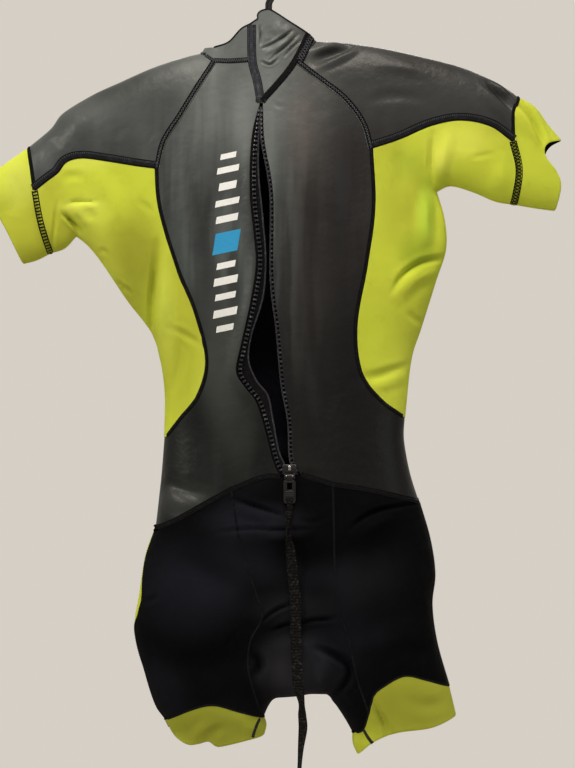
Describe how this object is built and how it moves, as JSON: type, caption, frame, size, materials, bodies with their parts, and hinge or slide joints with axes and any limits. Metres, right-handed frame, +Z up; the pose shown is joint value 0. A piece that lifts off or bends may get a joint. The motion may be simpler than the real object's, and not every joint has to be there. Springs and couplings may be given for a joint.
{
  "type": "swimrun wetsuit on a hanger",
  "caption": "Short-sleeved swimrun wetsuit with a half-open back zip, hanging on a plain hanger by its hook",
  "frame": {"origin": "the seat inside the top of the hanger's hook, where a rod or wall hook carries it", "axes": "+Z up, the zip side of the suit faces -Y, +X to the right as seen from the zip side"},
  "size_m": [0.8219, 0.0987, 1.2399],
  "materials": {
    "smooth_skin_neoprene": "closed smooth skin with a soft sheen",
    "lime_jersey": "nylon jersey on neoprene",
    "black_jersey": "nylon jersey on neoprene",
    "black_tape": "woven tape",
    "leash_webbing": "flat woven webbing",
    "zip_plastic": "moulded",
    "hanger_plastic": "moulded"
  },
  "bodies": {
    "suit": {"back_left": "smooth_skin_neoprene", "back_right": "smooth_skin_neoprene", "collar": "smooth_skin_neoprene", "collar_flap": "smooth_skin_neoprene", "collar_seam_tape": "black_tape", "cuff_left": "lime_jersey", "cuff_right": "lime_jersey", "flap_binding_left": "black_tape", "flap_binding_right": "black_tape", "front_body": "smooth_skin_neoprene", "hanger_bar": "hanger_plastic", "hanger_hook": "hanger_plastic", "leg_cuff_left": "lime_jersey", "leg_cuff_right": "lime_jersey", "seat_centre": "black_jersey", "seat_left": "black_jersey", "seat_right": "black_jersey", "shorts_front_left": "black_jersey", "shorts_front_right": "black_jersey", "shoulder_left": "smooth_skin_neoprene", "shoulder_right": "smooth_skin_neoprene", "side_left": "lime_jersey", "side_right": "lime_jersey", "sleeve_tape_left_back": "black_tape", "sleeve_tape_left_front": "black_tape", "sleeve_tape_right_back": "black_tape", "sleeve_tape_right_front": "black_tape", "thigh_left": "lime_jersey", "thigh_right": "lime_jersey", "zip_slider": "zip_plastic", "zip_tape_left": "black_tape", "zip_tape_right": "black_tape"},
    "pull_tab": {"pull_tab": "zip_plastic", "leash": "leash_webbing"}
  },
  "joints": [
    {"name": "tab_swing", "type": "hinge", "parent": "suit", "child": "pull_tab", "pos_m": [0.0295, -0.04488, -0.72918], "axis": [-1, 0, 0], "range_deg": [0, 150]}
  ]
}
